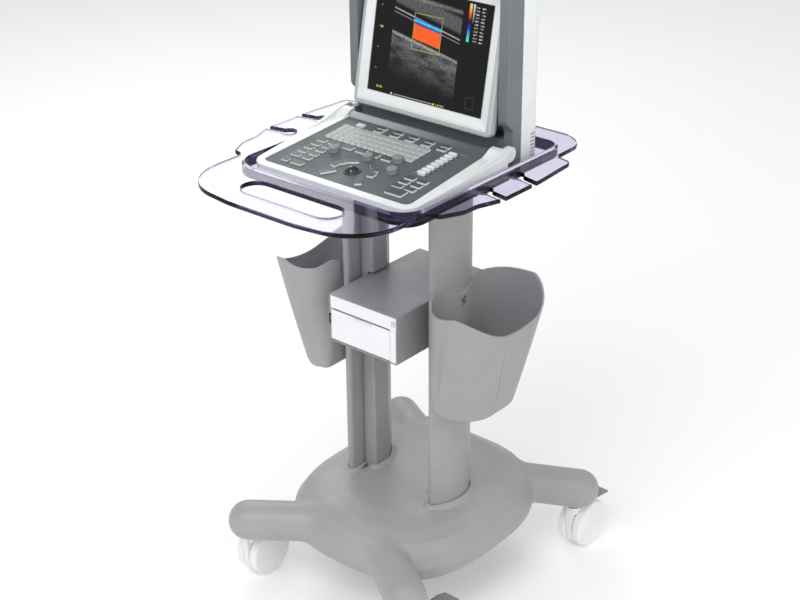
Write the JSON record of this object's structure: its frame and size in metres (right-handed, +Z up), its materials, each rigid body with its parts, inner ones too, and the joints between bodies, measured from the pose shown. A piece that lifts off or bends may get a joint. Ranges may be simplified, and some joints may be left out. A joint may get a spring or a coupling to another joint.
{
  "type": "ultrasound machine",
  "caption": "Compact ultrasound scanner on a trolley: fold-up keyboard, tilting display, clear tray, side bins, printer and swivel casters.",
  "frame": {"origin": "on the floor, at the middle of the machine's overall footprint", "axes": "+Z up, +X the operator's right, -Y towards the operator"},
  "size_m": [0.5198, 0.6894, 1.184],
  "materials": {
    "trolley_grey": "satin powder coat",
    "base_grey": "fine-grained moulded plastic",
    "bin_grey": "fine-grained moulded plastic",
    "clear_violet": "clear tinted acrylic, polished edges",
    "steel": "bright zinc",
    "caster_white": "satin",
    "tread_white": "smooth non-marking tread",
    "pedal_grey": "textured",
    "printer_grey": "satin",
    "printer_white": "satin",
    "mechanism": "bare sheet",
    "roller_rubber": "matte",
    "paper": "smooth paper",
    "button_grey": "satin",
    "case_white": "satin moulded plastic",
    "deck_slate": "satin",
    "board_green": "solder mask",
    "key_white": "satin",
    "key_silver": "satin silver",
    "knob_slate": "satin with fluted grip",
    "ball_black": "polished",
    "ring_silver": "satin",
    "pin_steel": "turned",
    "bezel_silver": "satin silver",
    "screen": "gloss display glass",
    "tower_slate": "satin",
    "socket_black": "matte",
    "supply_steel": "galvanised",
    "fan_black": "matte"
  },
  "bodies": {
    "trolley": {"base_cover": "base_grey", "base_frame": "steel", "column_left": "trolley_grey", "column_right": "trolley_grey", "tray": "clear_violet", "tray_brackets": "trolley_grey", "tray_screws": "steel", "bin_left": "bin_grey", "bin_right": "bin_grey", "bin_screws": "steel", "caster_stems": "steel", "printer_cradle": "trolley_grey", "printer_case": "printer_grey", "printer_bezel": "printer_white", "print_head": "mechanism", "tower_frame": "tower_slate", "tower_casing": "case_white", "main_board": "board_green", "power_supply": "supply_steel", "fan_housing": "fan_black", "carry_handle": "case_white", "probe_sockets": "socket_black", "hinge_pins": "pin_steel"},
    "door": {"printer_door": "printer_white"},
    "print_button": {"printer_button": "button_grey"},
    "platen": {"platen_roller": "roller_rubber"},
    "roll": {"paper_roll": "paper"},
    "console": {"console_case": "case_white", "console_deck": "deck_slate", "console_board": "board_green", "trackball_ring": "ring_silver"},
    "display": {"display_bezel": "bezel_silver", "display_panel": "screen", "display_cover": "tower_slate", "display_pins": "pin_steel"},
    "fan": {"fan_rotor": "fan_black"},
    "ball": {"trackball": "ball_black"},
    "gain_sliders": {"tgc_sliders": "key_white"},
    "power": {"power_key": "key_silver"},
    "caster_front_left": {"caster_hood_front_left": "caster_white"},
    "wheels_front_left": {"caster_wheels_front_left": "tread_white"},
    "brake_front_left": {"brake_pedal_front_left": "pedal_grey"},
    "caster_front_right": {"caster_hood_front_right": "caster_white"},
    "wheels_front_right": {"caster_wheels_front_right": "tread_white"},
    "brake_front_right": {"brake_pedal_front_right": "pedal_grey"},
    "caster_rear_right": {"caster_hood_rear_right": "caster_white"},
    "wheels_rear_right": {"caster_wheels_rear_right": "tread_white"},
    "brake_rear_right": {"brake_pedal_rear_right": "pedal_grey"},
    "caster_rear_left": {"caster_hood_rear_left": "caster_white"},
    "wheels_rear_left": {"caster_wheels_rear_left": "tread_white"},
    "brake_rear_left": {"brake_pedal_rear_left": "pedal_grey"},
    "press_alpha": {"keys_alpha": "key_white"},
    "press_function": {"keys_function": "key_white"},
    "press_left": {"keys_left": "key_white"},
    "press_right": {"keys_right": "key_white"},
    "press_trackball": {"keys_trackball": "key_white"},
    "turn_gain": {"knob_gain": "knob_slate"},
    "turn_colour": {"knob_colour": "knob_slate"},
    "turn_doppler": {"knob_doppler": "knob_slate"},
    "turn_depth": {"knob_depth": "knob_slate"}
  },
  "joints": [
    {"name": "swivel_front_left", "type": "hinge", "parent": "trolley", "child": "caster_front_left", "pos_m": [-0.203, -0.21075, 0.09], "axis": [0, 0, 1], "continuous": true},
    {"name": "roll_front_left", "type": "hinge", "parent": "caster_front_left", "child": "wheels_front_left", "pos_m": [-0.203, -0.18075, 0.047], "axis": [1, 0, 0], "continuous": true},
    {"name": "brake_front_left", "type": "hinge", "parent": "caster_front_left", "child": "brake_front_left", "pos_m": [-0.203, -0.15675, 0.092], "axis": [-1, 0, 0], "range_deg": [0, 12]},
    {"name": "swivel_front_right", "type": "hinge", "parent": "trolley", "child": "caster_front_right", "pos_m": [0.203, -0.21075, 0.09], "axis": [0, 0, 1], "continuous": true},
    {"name": "roll_front_right", "type": "hinge", "parent": "caster_front_right", "child": "wheels_front_right", "pos_m": [0.203, -0.18075, 0.047], "axis": [1, 0, 0], "continuous": true},
    {"name": "brake_front_right", "type": "hinge", "parent": "caster_front_right", "child": "brake_front_right", "pos_m": [0.203, -0.15675, 0.092], "axis": [-1, 0, 0], "range_deg": [0, 12]},
    {"name": "swivel_rear_right", "type": "hinge", "parent": "trolley", "child": "caster_rear_right", "pos_m": [0.21, 0.25025, 0.09], "axis": [0, 0, 1], "continuous": true},
    {"name": "roll_rear_right", "type": "hinge", "parent": "caster_rear_right", "child": "wheels_rear_right", "pos_m": [0.21, 0.28025, 0.047], "axis": [1, 0, 0], "continuous": true},
    {"name": "brake_rear_right", "type": "hinge", "parent": "caster_rear_right", "child": "brake_rear_right", "pos_m": [0.21, 0.30425, 0.092], "axis": [-1, 0, 0], "range_deg": [0, 12]},
    {"name": "swivel_rear_left", "type": "hinge", "parent": "trolley", "child": "caster_rear_left", "pos_m": [-0.21, 0.25025, 0.09], "axis": [0, 0, 1], "continuous": true},
    {"name": "roll_rear_left", "type": "hinge", "parent": "caster_rear_left", "child": "wheels_rear_left", "pos_m": [-0.21, 0.28025, 0.047], "axis": [1, 0, 0], "continuous": true},
    {"name": "brake_rear_left", "type": "hinge", "parent": "caster_rear_left", "child": "brake_rear_left", "pos_m": [-0.21, 0.30425, 0.092], "axis": [-1, 0, 0], "range_deg": [0, 12]},
    {"name": "printer_door", "type": "hinge", "parent": "trolley", "child": "door", "pos_m": [0, -0.11025, 0.5085], "axis": [1, 0, 0], "range_deg": [0, 75]},
    {"name": "print_button", "type": "slide", "parent": "trolley", "child": "print_button", "axis": [0, 1, 0], "range_m": [0, 0.0015]},
    {"name": "platen_turn", "type": "hinge", "parent": "trolley", "child": "platen", "pos_m": [0, -0.09275, 0.541], "axis": [1, 0, 0], "continuous": true},
    {"name": "paper_turn", "type": "hinge", "parent": "trolley", "child": "roll", "pos_m": [0, -0.04775, 0.535], "axis": [1, 0, 0], "continuous": true},
    {"name": "keyboard_fold", "type": "hinge", "parent": "trolley", "child": "console", "pos_m": [0, 0.05725, 0.862], "axis": [-1, 0, 0], "range_deg": [0, 94]},
    {"name": "display_tilt", "type": "hinge", "parent": "trolley", "child": "display", "pos_m": [0, 0.09225, 1.106], "axis": [1, 0, 0], "range_deg": [0, 10.8]},
    {"name": "fan_turn", "type": "hinge", "parent": "trolley", "child": "fan", "pos_m": [0.09, 0.12775, 0.96], "axis": [0, 1, 0], "continuous": true},
    {"name": "press_alpha", "type": "slide", "parent": "console", "child": "press_alpha", "axis": [0, 0.0924, -0.9957], "range_m": [0, 0.0015]},
    {"name": "press_function", "type": "slide", "parent": "console", "child": "press_function", "axis": [0, 0.0924, -0.9957], "range_m": [0, 0.0015]},
    {"name": "press_left", "type": "slide", "parent": "console", "child": "press_left", "axis": [0, 0.0924, -0.9957], "range_m": [0, 0.0015]},
    {"name": "press_right", "type": "slide", "parent": "console", "child": "press_right", "axis": [0, 0.0924, -0.9957], "range_m": [0, 0.0015]},
    {"name": "press_trackball", "type": "slide", "parent": "console", "child": "press_trackball", "axis": [0, 0.0924, -0.9957], "range_m": [0, 0.0015]},
    {"name": "press_power", "type": "slide", "parent": "console", "child": "power", "axis": [0, 0.0924, -0.9957], "range_m": [0, 0.0015]},
    {"name": "gain_slide", "type": "slide", "parent": "console", "child": "gain_sliders", "axis": [1, 0, 0], "range_m": [-0.01, 0.01]},
    {"name": "turn_gain", "type": "hinge", "parent": "console", "child": "turn_gain", "pos_m": [-0.077, -0.08825, 0.84919], "axis": [0, -0.0924, 0.9957], "continuous": true},
    {"name": "turn_colour", "type": "hinge", "parent": "console", "child": "turn_colour", "pos_m": [-0.008, -0.08208, 0.84976], "axis": [0, -0.0924, 0.9957], "continuous": true},
    {"name": "turn_doppler", "type": "hinge", "parent": "console", "child": "turn_doppler", "pos_m": [0.041, -0.06276, 0.85156], "axis": [0, -0.0924, 0.9957], "continuous": true},
    {"name": "turn_depth", "type": "hinge", "parent": "console", "child": "turn_depth", "pos_m": [0.06, -0.1002, 0.84808], "axis": [0, -0.0924, 0.9957], "continuous": true},
    {"name": "ball_roll", "type": "hinge", "parent": "console", "child": "ball", "pos_m": [0, -0.12984, 0.84282], "axis": [1, 0, 0], "continuous": true}
  ],
  "couplings": [
    {"joint": "display_tilt", "follows": "keyboard_fold", "ratio": 0.11489}
  ]
}
